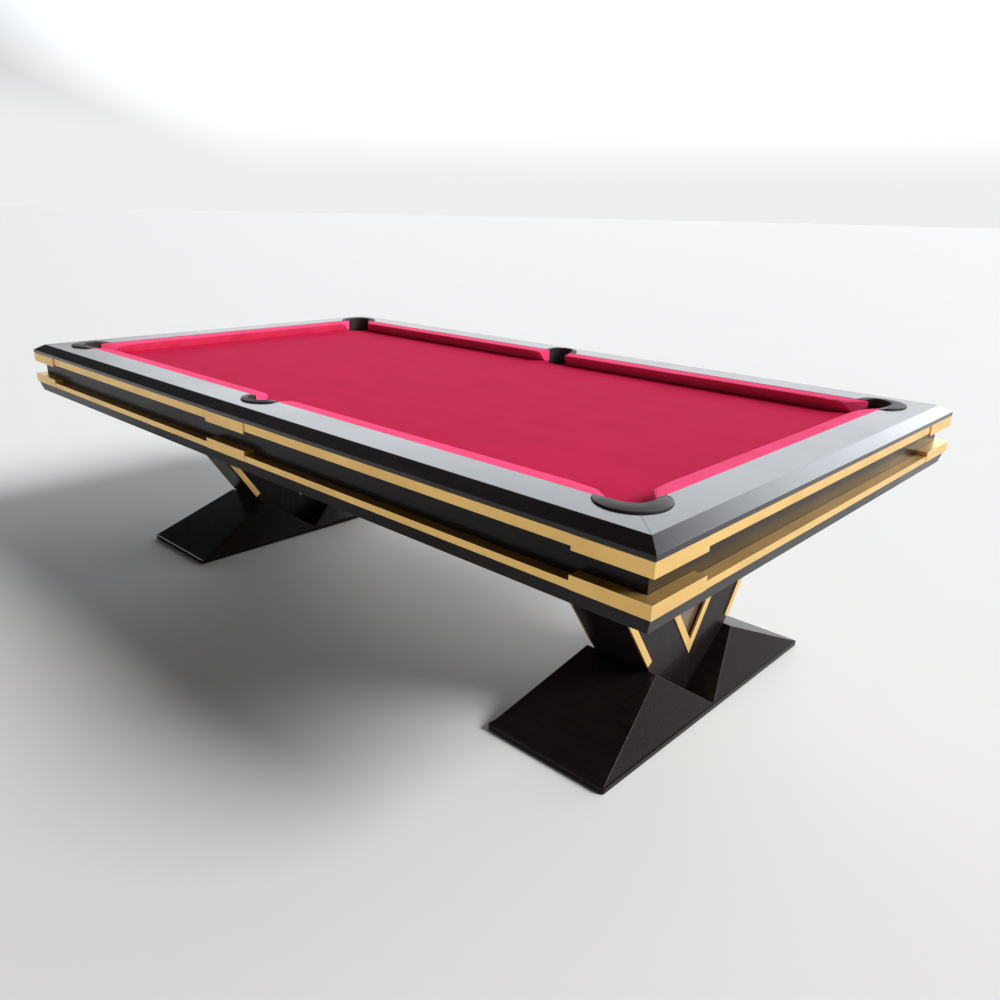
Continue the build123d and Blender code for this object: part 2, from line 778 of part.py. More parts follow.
def leveller_pad(x, y):
    """Round pad with a socket that the stem's pin turns in."""
    pad = post(x, y, leveller_rest, pad_top_z, pad_r)
    pad = pad + post(x, y, pad_top_z, boss_top_z, pad_boss_r)
    room = post(x, y, leveller_rest + socket_floor, boss_top_z + past, pin_r + running_fit)
    return pad - room


def leveller_stem(x, y):
    """Pin, spanner hexagon and the threaded stem, its thread left plain."""
    pin = post(x, y, pin_bottom_z, hex_bottom_z, pin_r)
    hexagon = hex_post(x, y, hex_bottom_z, hex_bottom_z + stem_hex_h, stem_hex)
    return pin + hexagon + post(x, y, hex_bottom_z + stem_hex_h, stem_top_z, stem_r)


def leveller_nut(x, y):
    """Steel nut plate on top of the plinth, inside the hollow foot."""
    half = nut_plate / 2
    nut = block((x - half, x + half), (y - half, y + half),
                (plinth_top_z, plinth_top_z + nut_plate_t))
    boss_low = plinth_top_z + nut_plate_t
    nut = nut + post(x, y, boss_low, boss_low + nut_boss_h, nut_boss_r)
    return nut - post(x, y, 0, boss_low + nut_boss_h + past, stem_r + running_fit)


corners = {
    "front_left": (pedestal_x, -leveller_y),
    "front_right": (pedestal_x, leveller_y),
    "rear_left": (-pedestal_x, -leveller_y),
    "rear_right": (-pedestal_x, leveller_y),
}
for corner, (x, y) in corners.items():
    save("leveller_pad_" + corner, [leveller_pad(x, y)])
    save("leveller_stem_" + corner, [leveller_stem(x, y)])
save("leveller_nuts", [leveller_nut(x, y) for x, y in corners.values()])
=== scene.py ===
from math import copysign, cos, hypot, pi, radians, sin, sqrt, tan

import bpy
from mathutils import Matrix, Vector


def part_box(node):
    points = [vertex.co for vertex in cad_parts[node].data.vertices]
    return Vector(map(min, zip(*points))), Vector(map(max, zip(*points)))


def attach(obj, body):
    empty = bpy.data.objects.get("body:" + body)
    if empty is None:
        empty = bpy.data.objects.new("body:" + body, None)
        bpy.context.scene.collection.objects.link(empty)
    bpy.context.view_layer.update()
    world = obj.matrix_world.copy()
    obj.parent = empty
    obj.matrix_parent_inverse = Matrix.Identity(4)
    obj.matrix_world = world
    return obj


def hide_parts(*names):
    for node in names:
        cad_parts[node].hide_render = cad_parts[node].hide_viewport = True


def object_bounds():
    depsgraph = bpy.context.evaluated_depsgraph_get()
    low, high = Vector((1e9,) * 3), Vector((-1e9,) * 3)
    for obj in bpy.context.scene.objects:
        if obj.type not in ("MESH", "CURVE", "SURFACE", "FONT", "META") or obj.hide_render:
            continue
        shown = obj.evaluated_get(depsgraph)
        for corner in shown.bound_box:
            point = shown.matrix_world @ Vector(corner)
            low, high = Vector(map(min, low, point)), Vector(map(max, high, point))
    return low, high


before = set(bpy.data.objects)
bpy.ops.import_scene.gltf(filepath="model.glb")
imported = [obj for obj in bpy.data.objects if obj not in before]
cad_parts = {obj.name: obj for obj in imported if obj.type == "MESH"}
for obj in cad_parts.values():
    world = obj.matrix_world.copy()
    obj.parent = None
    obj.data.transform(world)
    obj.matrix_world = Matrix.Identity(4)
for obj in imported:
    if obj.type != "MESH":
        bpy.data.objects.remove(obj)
cad_low, cad_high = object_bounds()

bl_info = {
    "name": "Pool table finisher",
    "version": (1, 0, 0),
    "blender": (4, 5, 0),
    "location": "3D View > Sidebar > Pool table",
    "description": "Cloth, cushions, castings, lacquer and gilding for a pedestal pool table",
    "category": "Object",
}

# ---- places read from the frame -------------------------------------------------
bed_low, bed_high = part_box("bed_cloth")
bed_top = bed_high.z
rail_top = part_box("side_rail_left")[1].z
long_low, long_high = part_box("cushion_left_front")
end_low, end_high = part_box("cushion_end_front")
nose_x, back_x = end_low.x, end_high.x            # end cushions: nose line and back line
nose_y, back_y = -long_high.y, -long_low.y        # the same for the long cushions
cushion_low, cushion_high = long_low.z, long_high.z
corner_low, corner_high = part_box("pocket_casting_front_right")
casting_top = corner_high.z
casting_low = corner_low.z
ball = 0.05715
nose_level = bed_top + 0.635 * ball
top_at_nose = nose_level + 0.0012                 # where the sloping top starts
half_root = 1 / sqrt(2)


# ---- sizes and colours that a user would change ---------------------------------
def length(name, text, default, high=0.5):
    return bpy.props.FloatProperty(name=name, description=text, default=default, min=0.0,
                                   max=high, precision=4, subtype="DISTANCE", unit="LENGTH")


def colour(name, text, default):
    return bpy.props.FloatVectorProperty(name=name, description=text, default=default, size=3,
                                         min=0.0, max=1.0, subtype="COLOR")


def share(name, text, default, high=1.0):
    return bpy.props.FloatProperty(name=name, description=text, default=default, min=0.0,
                                   max=high, subtype="FACTOR" if high == 1.0 else "NONE")


class TableSizes(bpy.types.PropertyGroup):
    wood_ease: length("Wood edges", "Rounding of the lacquered boards' edges", 0.0012)
    gold_ease: length("Gilded edges", "Rounding of the gilded bands' edges", 0.0009)
    foot_ease: length("Foot arrises", "Rounding of the feet's ridges", 0.0014)
    cloth_thick: length("Cloth", "Thickness of the bed cloth", 0.0009)
    cloth_fold: length("Cloth fold", "Rounding where the cloth turns into a pocket", 0.004)
    cloth_drop: length("Cloth drop", "How far the cloth runs down into a pocket", 0.018)
    corner_hole: length("Corner pocket", "Radius of a corner pocket's hole", 0.052)
    corner_hole_set: length("Corner pocket set", "Hole centre beyond the nose corner", 0.014)
    corner_rim: length("Corner rim", "Outer radius of a corner casting", 0.082)
    corner_rim_set: length("Corner rim set", "Rim centre beyond the nose corner", 0.029)
    side_hole: length("Side pocket", "Radius of a side pocket's hole", 0.050)
    side_hole_set: length("Side pocket set", "Hole centre beyond the nose line", 0.052)
    side_rim: length("Side rim", "Outer radius of a side casting", 0.070)
    side_rim_set: length("Side rim set", "Rim centre beyond the nose line", 0.050)
    corner_mouth: length("Corner mouth", "Between the noses at a corner pocket", 0.115)
    side_mouth: length("Side mouth", "Between the noses at a side pocket", 0.128)
    wall: length("Casting wall", "Wall that lines the hole", 0.010)
    rim_edge: length("Rim edge", "Rounding of a casting's outer edge", 0.0012)
    rim_fall: length("Rim fall", "How far a casting's top falls to its outer edge", 0.0042)
    rim_slope: length("Rim slope", "Width over which a casting's top falls", 0.027)
    rim_taper: length("Rim taper", "Run over which a casting's ends sink to the rail", 0.026)
    rim_lip: length("Rim lip", "Rounding of a casting's edge over the hole", 0.0055)
    nose_round: length("Nose", "Rounding of a cushion's nose", 0.0031)
    facing_ease: length("Facing edge", "Rounding over the top of a cushion's ends", 0.0042)
    corner_turn: length("Corner turn", "Plan rounding from nose to facing, corner pockets", 0.045)
    side_turn: length("Side turn", "Plan rounding from nose to facing, side pockets", 0.012)


class TableColours(bpy.types.PropertyGroup):
    lacquer: colour("Lacquer", "Black lacquer", (0.0065, 0.0045, 0.0055))
    lacquer_grain: colour("Grain", "Stained wood seen through the lacquer", (0.020, 0.012, 0.011))
    gold: colour("Gold", "Gold lacquer", (0.86, 0.55, 0.17))
    gold_deep: colour("Deep gold", "Gold lacquer where it lies thick", (0.62, 0.35, 0.09))
    # Painted shade: the panel inside the V is given a dark brown that stands in for the shade in its
    # recess.
    bronze: colour("Bronze", "Panel inside the V", (0.085, 0.045, 0.024))
    cloth: colour("Cloth", "Worsted bed cloth", (0.47, 0.008, 0.050))
    cloth_nap: colour("Nap", "Cloth where the nap catches light", (0.55, 0.012, 0.074))
    # Painted highlight: the cushion colours are the bed cloth made lighter and pinker, standing in for the
    # brighter look of the cushion tops; the cloth is the same as on the bed.
    cushion: colour("Cushion cloth", "The same cloth drawn tight on the cushions", (0.82, 0.050, 0.155))
    cushion_nap: colour("Cushion nap", "Cushion cloth where it catches light", (0.93, 0.085, 0.23))
    casting: colour("Castings", "Black pocket castings", (0.022, 0.018, 0.019))
    rubber: colour("Rubber", "Buckets, pads and glides", (0.018, 0.017, 0.018))
    slate: colour("Slate", "Bed slate", (0.065, 0.072, 0.08))
    pine: colour("Frame wood", "Beams under the slate", (0.52, 0.33, 0.17))
    steel: colour("Steel", "Bolts, screws and levelling stems", (0.52, 0.52, 0.54))
    floor: colour("Floor", "Studio floor", (0.70, 0.69, 0.675))


class StudioSettings(bpy.types.PropertyGroup):
    wall: share("Wall", "Brightness of the pale wall behind the table", 2.9, 10.0)
    low_wall: share("Foot of the wall", "Its brightness at the horizon", 0.86, 10.0)
    window: share("Window", "How much brighter the wall is at its window", 1.9, 10.0)
    shade: share("Shade", "Brightness of the rest of the studio", 0.05, 10.0)
    key: share("Key light", "Strength of the main soft light", 4.4, 20.0)
    key_spread: bpy.props.FloatProperty(name="Key spread", subtype="ANGLE", unit="ROTATION",
                                        description="How wide the main light looks from the table",
                                        default=radians(26.0), min=0.0)


def sizes():
    return bpy.context.scene.pool_sizes


def colours():
    return bpy.context.scene.pool_colours


# ---- selecting and shaping ------------------------------------------------------
def work_on(piece):
    """Leaves only this piece selected and active, in object mode."""
    if bpy.context.mode != "OBJECT":
        bpy.ops.object.mode_set(mode="OBJECT")
    bpy.ops.object.select_all(action="DESELECT")
    piece.select_set(True)
    bpy.context.view_layer.objects.active = piece


def in_edit(piece, kind="FACE"):
    work_on(piece)
    bpy.ops.object.mode_set(mode="EDIT")
    bpy.ops.mesh.select_mode(type=kind)
    bpy.ops.mesh.select_all(action="DESELECT")


def done_editing():
    bpy.ops.object.mode_set(mode="OBJECT")


def pick(piece, kind, wanted):
    """Selects the faces or edges that wanted() accepts, and enters edit mode."""
    in_edit(piece, kind)
    done_editing()
    mesh = piece.data
    points = [v.co for v in mesh.vertices]
    count = 0
    if kind == "FACE":
        for face in mesh.polygons:
            face.select = wanted(face)
            count += face.select
    else:
        for edge in mesh.edges:
            edge.select = wanted(points[edge.vertices[0]], points[edge.vertices[1]])
            count += edge.select
    if not count:
        raise RuntimeError("nothing to select on " + piece.name)
    bpy.ops.object.mode_set(mode="EDIT")


def apply_modifier(piece, modifier):
    work_on(piece)
    bpy.ops.object.modifier_apply(modifier=modifier.name)


def clean_copy(node, name):
    """A copy of a CAD node's mesh with its loose triangles joined into whole faces."""
    piece = bpy.data.objects.new(name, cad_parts[node].data.copy())
    bpy.context.scene.collection.objects.link(piece)
    work_on(piece)
    bpy.ops.object.mode_set(mode="EDIT")
    bpy.ops.mesh.select_mode(type="VERT")
    bpy.ops.mesh.select_all(action="SELECT")
    bpy.ops.mesh.customdata_custom_splitnormals_clear()
    bpy.ops.mesh.remove_doubles(threshold=0.00002)
    bpy.ops.mesh.dissolve_limited(angle_limit=radians(0.4))
    done_editing()
    piece.data.materials.clear()
    return piece


def ease_edges(piece, width, shortest=0.010, corner=20.0):
    """Rounds the long sharp edges, and gives the rounded faces the piece's second finish."""
    in_edit(piece, "EDGE")
    bpy.ops.mesh.edges_select_sharp(sharpness=radians(corner))
    done_editing()
    points = [v.co for v in piece.data.vertices]
    for edge in piece.data.edges:
        start, end = edge.vertices
        if (points[start] - points[end]).length < shortest:
            edge.select = False
    bpy.ops.object.mode_set(mode="EDIT")
    bpy.ops.mesh.bevel(offset=width, segments=2, material=1, clamp_overlap=False)
    done_editing()
    even_shading(piece)


def even_shading(piece, corner=32.0):
    work_on(piece)
    bpy.ops.object.shade_smooth_by_angle(angle=radians(corner))
    weigh = piece.modifiers.new("even", "WEIGHTED_NORMAL")
    weigh.keep_sharp = True
    apply_modifier(piece, weigh)


def carve(piece, tool, operation="DIFFERENCE"):
    """Cuts the tool from the piece or joins them, and removes the tool."""
    boolean = piece.modifiers.new("carve", "BOOLEAN")
    boolean.operation, boolean.solver, boolean.object = operation, "EXACT", tool
    apply_modifier(piece, boolean)
    bpy.data.objects.remove(tool, do_unlink=True)


def round_bar(name, x, y, low, high, radius, sides=96):
    bpy.ops.object.select_all(action="DESELECT")
    bpy.ops.mesh.primitive_cylinder_add(vertices=sides, radius=radius, depth=high - low,
                                        location=(x, y, (low + high) / 2))
    return settled(name)


def settled(name):
    """Names the new primitive and moves its place into its mesh."""
    piece = bpy.context.active_object
    piece.name = piece.data.name = name
    bpy.ops.object.transform_apply(location=True, rotation=True, scale=True)
    return piece


def square_block(name, low, high):
    middle = (Vector(low) + Vector(high)) / 2
    bpy.ops.object.select_all(action="DESELECT")
    bpy.ops.mesh.primitive_cube_add(size=1.0, location=middle)
    bpy.context.active_object.scale = Vector(high) - Vector(low)
    return settled(name)


def mirrored(piece, name, across_x, across_y):
    """A copy with its own mesh, mirrored about the table's middle planes."""
    copy = bpy.data.objects.new(name, piece.data.copy())
    bpy.context.scene.collection.objects.link(copy)
    copy.data.transform(Matrix.Diagonal((-1 if across_x else 1, -1 if across_y else 1, 1, 1)))
    if across_x != across_y:
        copy.data.flip_normals()
    return copy


def give_finishes(piece, materials):
    """Fills the piece's material slots in order. Its faces keep their slot numbers."""
    slots = piece.data.materials
    for index, material in enumerate(materials):
        if index < len(slots):
            slots[index] = material
        else:
            slots.append(material)


def finish_piece(piece, materials, slot, body, *nodes):
    """Gives the piece its finishes and body, and hides the CAD nodes that it stands for. The slot is not
    used.
    """
    give_finishes(piece, materials)
    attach(piece, body)
    if nodes:
        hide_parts(*nodes)


def refinish(node, *materials):
    """Gives a CAD node that stays in view its finish."""
    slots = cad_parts[node].data.materials
    slots.clear()
    for material in materials:
        slots.append(material)


# ---- material recipes -----------------------------------------------------------
class Recipe:
    """A material written as the layers a finisher would name."""

    def __init__(self, name, rough, metal=0.0):
        self.material = bpy.data.materials.new(name)
        self.material.use_nodes = True
        self.tree = self.material.node_tree
        self.shader = self.tree.nodes["Principled BSDF"]
        self.set("Roughness", rough)
        self.set("Metallic", metal)
        self.place = self.add("ShaderNodeTexCoord").outputs["Object"]
        self.normal = None

    def add(self, kind, **settings):
        node = self.tree.nodes.new(kind)
        for key, value in settings.items():
            setattr(node, key, value)
        return node

    def feed(self, node, **inputs):
        for key, value in inputs.items():
            socket = node.inputs[key.replace("_", " ")]
            if isinstance(value, bpy.types.NodeSocket):
                self.tree.links.new(value, socket)
            else:
                socket.default_value = value
        return node

    def set(self, socket, value):
        if isinstance(value, bpy.types.NodeSocket):
            self.tree.links.new(value, self.shader.inputs[socket])
        else:
            self.shader.inputs[socket].default_value = value

    def stretched(self, stretch, turn=0.0):
        mapping = self.add("ShaderNodeMapping")
        mapping.inputs["Scale"].default_value = stretch
        mapping.inputs["Rotation"].default_value = (0.0, 0.0, turn)
        self.tree.links.new(self.place, mapping.inputs["Vector"])
        return mapping.outputs["Vector"]

    def clouds(self, scale, detail=4.0, stretch=(1, 1, 1), turn=0.0, rough=0.55, warp=0.0):
        node = self.feed(self.add("ShaderNodeTexNoise"), Vector=self.stretched(stretch, turn),
                         Scale=scale, Detail=detail, Roughness=rough, Distortion=warp)
        return node.outputs["Fac"]

    def bands(self, scale, turn, warp=0.0, direction="X"):
        node = self.add("ShaderNodeTexWave", bands_direction=direction)
        self.feed(node, Vector=self.stretched((1, 1, 1), turn), Scale=scale, Distortion=warp)
        return node.outputs["Fac"]

    def cells(self, scale, stretch=(1, 1, 1), feature="F1"):
        node = self.add("ShaderNodeTexVoronoi", feature=feature)
        self.feed(node, Vector=self.stretched(stretch), Scale=scale)
        return node.outputs["Distance"]

    def span(self, value, low, high, start=0.0, end=1.0):
        node = self.add("ShaderNodeMapRange", clamp=True)
        self.feed(node, Value=value, From_Min=start, From_Max=end, To_Min=low, To_Max=high)
        return node.outputs["Result"]

    def product(self, first, second):
        node = self.add("ShaderNodeMath", operation="MULTIPLY")
        self.tree.links.new(first, node.inputs[0])
        self.tree.links.new(second, node.inputs[1])
        return node.outputs["Value"]

    def mix(self, share_of, first, second):
        node = self.add("ShaderNodeMix", data_type="RGBA")
        for index, value in ((0, share_of), (6, first), (7, second)):
            if isinstance(value, bpy.types.NodeSocket):
                self.tree.links.new(value, node.inputs[index])
            else:
                node.inputs[index].default_value = value if index == 0 else (*value, 1.0)
        return node.outputs[2]

    def relief(self, height, depth, strength=1.0):
        node = self.feed(self.add("ShaderNodeBump"), Height=height, Strength=strength,
                         Distance=depth)
        if self.normal:
            self.tree.links.new(self.normal, node.inputs["Normal"])
        self.normal = node.outputs["Normal"]
        self.set("Normal", self.normal)

    def coat(self, weight, rough, ior=1.5):
        self.set("Coat Weight", weight)
        self.set("Coat Roughness", rough)
        self.set("Coat IOR", ior)


finishes = {}


def lacquer(name, turn, rubbed=False, tilt=None, gloss=0.72):
    """Black lacquer over stained, open-grained wood. The grain runs along X at turn 0."""
    c = colours()
    r = Recipe(name, 0.2)
    along = (1.2, 26.0, 26.0) if tilt is None else tilt
    figure = r.clouds(7.0, 6.0, along, turn, 0.62, 0.6)
    pores = r.clouds(46.0, 3.0, tuple(s * 1.6 for s in along), turn, 0.5)
    smears = r.clouds(3.1, 3.0)
    body = r.mix(r.span(figure, 0.0, 0.75, 0.42, 0.74), c.lacquer, c.lacquer_grain)
    if rubbed:
        body = r.mix(r.span(smears, 0.15, 0.6, 0.35, 0.7), body, (0.050, 0.030, 0.024))
    r.set("Base Color", body)
    r.set("Roughness", r.span(smears, 0.22, 0.36, 0.3, 0.7))
    r.set("Specular IOR Level", 0.08)
    r.relief(r.span(pores, 0.0, 1.0, 0.52, 0.68), 0.00010, 0.40)
    r.relief(r.clouds(240.0, 2.0), 0.00003, 0.30)
    r.coat(gloss, 0.06, 1.42)
    return r.material


def gold_lacquer(name, turn, rubbed=False):
    c = colours()
    r = Recipe(name, 0.34, 0.85)
    drift = r.clouds(5.0, 4.0)
    brushed = r.clouds(60.0, 3.0, (0.6, 22.0, 22.0), turn, 0.6)
    flakes = r.cells(900.0)
    colour_now = r.mix(r.span(drift, 0.0, 0.55, 0.38, 0.72), c.gold, c.gold_deep)
    colour_now = r.mix(r.span(brushed, 0.0, 0.22, 0.45, 0.7), colour_now, (1.0, 0.78, 0.42))
    if rubbed:
        colour_now = r.mix(r.span(drift, 0.2, 0.65, 0.4, 0.65), colour_now, (0.96, 0.78, 0.45))
    r.set("Base Color", colour_now)
    r.set("Roughness", r.span(brushed, 0.30, 0.46, 0.3, 0.7))
    r.relief(brushed, 0.00006, 0.35)
    r.relief(flakes, 0.00003, 0.25)
    r.coat(0.15, 0.18)
    return r.material


# Dark brown panel inside the V; its darkness is painted shade for the recess.
def bronze_lacquer():
    c = colours()
    r = Recipe("bronze_panel", 0.32, 0.35)
    drift = r.clouds(9.0, 5.0, (1.0, 1.0, 0.35))
    r.set("Base Color", r.mix(r.span(drift, 0.0, 0.8, 0.35, 0.7), c.bronze, (0.19, 0.11, 0.06)))
    r.set("Roughness", r.span(drift, 0.24, 0.42, 0.3, 0.7))
    r.relief(r.clouds(150.0, 3.0, (4.0, 4.0, 1.0)), 0.00005, 0.4)
    r.coat(0.6, 0.15)
    return r.material


def worsted(name, turn, ground, raised, sheen):
    """Napped worsted: twill threads, a brushed nap and the light rubbing of use."""
    r = Recipe(name, 0.88)
    threads = r.product(r.bands(430.0, turn + pi / 4, 0.8), r.bands(430.0, turn - pi / 4, 0.8))
    fibres = r.clouds(420.0, 4.0, (0.35, 1.0, 1.0), turn, 0.7)
    nap = r.clouds(14.0, 5.0, (0.3, 1.0, 1.0), turn, 0.62, 0.4)
    wear = r.clouds(2.0, 3.0)
    lit = tuple(min(1.0, 1.15 * level + 0.02) for level in raised)
    deep = tuple(0.6 * level for level in ground)
    tone = r.mix(r.span(nap, 0.0, 0.6, 0.38, 0.68), ground, raised)
    tone = r.mix(r.span(fibres, 0.0, 0.35, 0.4, 0.72), tone, lit)
    tone = r.mix(r.span(threads, 0.28, 0.0, 0.0, 0.8), tone, deep)
    tone = r.mix(r.span(wear, 0.0, 0.30, 0.48, 0.72), tone, raised)
    r.set("Base Color", tone)
    r.set("Roughness", r.span(fibres, 0.78, 0.95, 0.3, 0.7))
    r.set("Specular IOR Level", 0.04)
    r.set("Sheen Weight", sheen)
    r.set("Sheen Roughness", 0.42)
    r.set("Sheen Tint", (1.0, 0.22, 0.36, 1.0))
    r.relief(threads, 0.00022, 0.55)
    r.relief(fibres, 0.00025, 0.45)
    return r.material


def powder_coat():
    c = colours()
    r = Recipe("casting_black", 0.5)
    pebble = r.cells(520.0)
    smears = r.clouds(22.0, 4.0)
    r.set("Base Color", r.mix(r.span(smears, 0.0, 0.7, 0.35, 0.7), c.casting,
                              (0.034, 0.024, 0.022)))
    r.set("Roughness", r.span(smears, 0.42, 0.60, 0.3, 0.7))
    r.set("Specular IOR Level", 0.30)
    r.relief(pebble, 0.00010, 0.4)
    return r.material


def moulded_rubber():
    c = colours()
    r = Recipe("moulded_rubber", 0.62)
    dust = r.clouds(30.0, 5.0)
    r.set("Base Color", r.mix(r.span(dust, 0.0, 0.6, 0.45, 0.75), c.rubber,
                              (0.06, 0.056, 0.054)))
    r.set("Roughness", r.span(dust, 0.5, 0.8, 0.3, 0.7))
    r.relief(r.clouds(700.0, 3.0), 0.00010, 0.5)
    return r.material


def honed_slate():
    c = colours()
    r = Recipe("honed_slate", 0.55)
    cleft = r.clouds(5.0, 8.0, (1.0, 1.0, 9.0), 0.3, 0.66, 1.2)
    r.set("Base Color", r.mix(r.span(cleft, 0.0, 1.0, 0.3, 0.7), c.slate, (0.17, 0.18, 0.19)))
    r.set("Roughness", r.span(cleft, 0.42, 0.68, 0.3, 0.7))
    r.relief(r.clouds(120.0, 6.0, (1.0, 1.0, 5.0)), 0.0003, 0.5)
    return r.material


def planed_pine(name, turn):
    c = colours()
    r = Recipe(name, 0.62)
    rings = r.clouds(5.0, 4.0, (0.35, 9.0, 9.0), turn, 0.5, 1.5)
    fibre = r.clouds(90.0, 4.0, (0.4, 9.0, 9.0), turn, 0.65)
    tone = r.mix(r.span(rings, 0.0, 1.0, 0.35, 0.68), c.pine, (0.36, 0.19, 0.08))
    tone = r.mix(r.span(fibre, 0.0, 0.35, 0.45, 0.7), tone, (0.72, 0.52, 0.31))
    r.set("Base Color", tone)
    r.set("Roughness", r.span(fibre, 0.5, 0.75, 0.3, 0.7))
    r.relief(fibre, 0.0003, 0.5)
    return r.material


def zinc_steel():
    c = colours()
    r = Recipe("zinc_steel", 0.34, 1.0)
    bloom = r.clouds(160.0, 5.0)
    r.set("Base Color", r.mix(r.span(bloom, 0.0, 0.6, 0.35, 0.7), c.steel, (0.34, 0.33, 0.31)))
    r.set("Roughness", r.span(bloom, 0.26, 0.5, 0.3, 0.7))
    r.relief(r.clouds(900.0, 3.0), 0.00004, 0.5)
    return r.material


def make_finishes():
    c = colours()
    across = pi / 2
    # Painted highlight: the cushions get a lighter, pinker copy of the bed cloth.
    cushion_painted_highlight = (c.cushion, c.cushion_nap, 0.22)
    upright = (14.0, 14.0, 0.9)
    satin = 0.13
    finishes.update(
        wood_x=[lacquer("lacquer_lengthwise", 0.0), lacquer("lacquer_lengthwise_edge", 0.0, True)],
        wood_y=[lacquer("lacquer_crosswise", across), lacquer("lacquer_crosswise_edge", across, True)],
        satin_x=[lacquer("satin_lengthwise", 0.0, gloss=satin),
                 lacquer("satin_lengthwise_edge", 0.0, True, gloss=satin)],
        satin_y=[lacquer("satin_crosswise", across, gloss=satin),
                 lacquer("satin_crosswise_edge", across, True, gloss=satin)],
        satin_z=[lacquer("satin_upright", 0.0, False, upright, satin),
                 lacquer("satin_upright_edge", 0.0, True, upright, satin)],
        gold_x=[gold_lacquer("gold_lengthwise", 0.0), gold_lacquer("gold_lengthwise_edge", 0.0, True)],
        gold_y=[gold_lacquer("gold_crosswise", across), gold_lacquer("gold_crosswise_edge", across, True)],
        bronze=[bronze_lacquer()], cloth=[worsted("worsted_bed", 0.0, c.cloth, c.cloth_nap, 0.03)],
        cushion_x=[worsted("worsted_cushion_long", 0.0, *cushion_painted_highlight)],
        cushion_y=[worsted("worsted_cushion_end", across, *cushion_painted_highlight)],
        casting=[powder_coat()], rubber=[moulded_rubber()], slate=[honed_slate()],
        pine_x=[planed_pine("pine_lengthwise", 0.0)], pine_y=[planed_pine("pine_crosswise", across)],
        steel=[zinc_steel()],
    )


# ---- the object's pieces --------------------------------------------------------
def eased_board(node, name, finish, width, slot, body="table"):
    piece = clean_copy(node, name)
    give_finishes(piece, finishes[finish])
    ease_edges(piece, width)
    finish_piece(piece, finishes[finish], slot, body, node)
    return piece


def split_finish(piece, first, second, is_second):
    """Two grain directions on one piece: the faces that is_second() accepts take the second."""
    give_finishes(piece, finishes[first] + finishes[second])
    shift = len(finishes[first])
    for face in piece.data.polygons:
        if is_second(face.center):
            face.material_index += shift


def on_end(point):
    """True for what lies past the corner mitres, on the table's ends."""
    return abs(point.x) - back_x > abs(point.y) - back_y


def make_rails():
    ease = sizes().wood_ease
    for side in ("left", "right"):
        eased_board("side_rail_" + side, "rail_" + side, "wood_x", ease, "black_lacquer")
    for end in ("front", "rear"):
        eased_board("end_rail_" + end, "rail_" + end, "wood_y", ease, "black_lacquer")


def make_apron():
    s = sizes()
    eased_board("apron_side_boards", "apron_sides", "satin_x", s.wood_ease, "black_lacquer")
    eased_board("apron_end_boards", "apron_ends", "satin_y", s.wood_ease, "black_lacquer")
    for node, name, first, second, slot, ease in (
        ("skirt_boards", "skirt", "satin_x", "satin_y", "black_lacquer", s.wood_ease),
        ("upper_trim_strips", "upper_band", "gold_x", "gold_y", "gold_lacquer", s.gold_ease),
        ("upper_trim_blocks", "upper_blocks", "gold_x", "gold_y", "gold_lacquer", s.gold_ease),
        ("lower_ledge_strips", "lower_band", "gold_x", "gold_y", "gold_lacquer", s.gold_ease),
        ("lower_ledge_blocks", "lower_blocks", "gold_x", "gold_y", "gold_lacquer", s.gold_ease),
    ):
        piece = eased_board(node, name, first, ease, slot)
        split_finish(piece, first, second, on_end)


def make_pedestals():
    s = sizes()
    for end in ("front", "rear"):
        eased_board(end + "_plinth", end + "_plinth_slab", "satin_y", s.foot_ease, "black_lacquer")
        for side in ("left", "right"):
            node = end + "_" + side + "_foot"
            eased_board(node, node + "_form", "satin_y", s.foot_ease, "black_lacquer")
        eased_board(end + "_column", end + "_pillar", "satin_z", s.wood_ease, "black_lacquer")
        eased_board(end + "_edge_strips", end + "_edge_bands", "gold_y", s.gold_ease,
                    "gold_lacquer")
        eased_board(end + "_v_strips", end + "_v_bands", "gold_y", s.gold_ease, "gold_lacquer")
        # The V panels take the dark brown of painted shade.
        refinish(end + "_v_inserts", *finishes["bronze"])


def cushion_section():
    """(depth, height) round a cushion: base, undercut, rounded nose, sloping top, tucked back."""
    radius = sizes().nose_round
    deep = back_x - nose_x
    foot_depth, foot_turn = 0.0262, (0.0019, 0.0016)      # where the undercut meets the base
    off_rail, tuck, shallow, swell = 0.0002, 0.0024, 0.0001, 0.0003

    def arc(height, start, end, steps):
        angles = [radians(start + (end - start) * step / steps) for step in range(steps + 1)]
        return [(radius * (1 + cos(angle)), height + radius * sin(angle)) for angle in angles]

    base = [(deep - off_rail, cushion_low), (foot_depth, cushion_low),
            (foot_depth - foot_turn[0], cushion_low + foot_turn[1])]
    nose = arc(nose_level - 0.0032 + radius, 212, 180, 4)
    nose += arc(top_at_nose - 0.35 * radius, 180, 96, 5)
    start_depth, start_height = nose[-1]
    top = []
    for along in (0.22, 0.5, 0.78):
        depth = radius + along * (deep - radius)
        rise = (cushion_high - start_height) * (depth - start_depth) / (deep - start_depth)
        top.append((depth, start_height + rise + swell * sin(pi * along) - shallow))
    back = [(deep - tuck, cushion_high - shallow), (deep - 0.0008, cushion_high - 0.0008),
            (deep - off_rail, cushion_high - tuck)]
    return base + nose + top + back


def cut_off(point, outward):
    """Cuts off what lies beyond a plane and closes the cut."""
    bpy.ops.mesh.select_all(action="SELECT")
    bpy.ops.mesh.bisect(plane_co=point, plane_no=outward, use_fill=True, clear_outer=True,
                        threshold=0.00001)


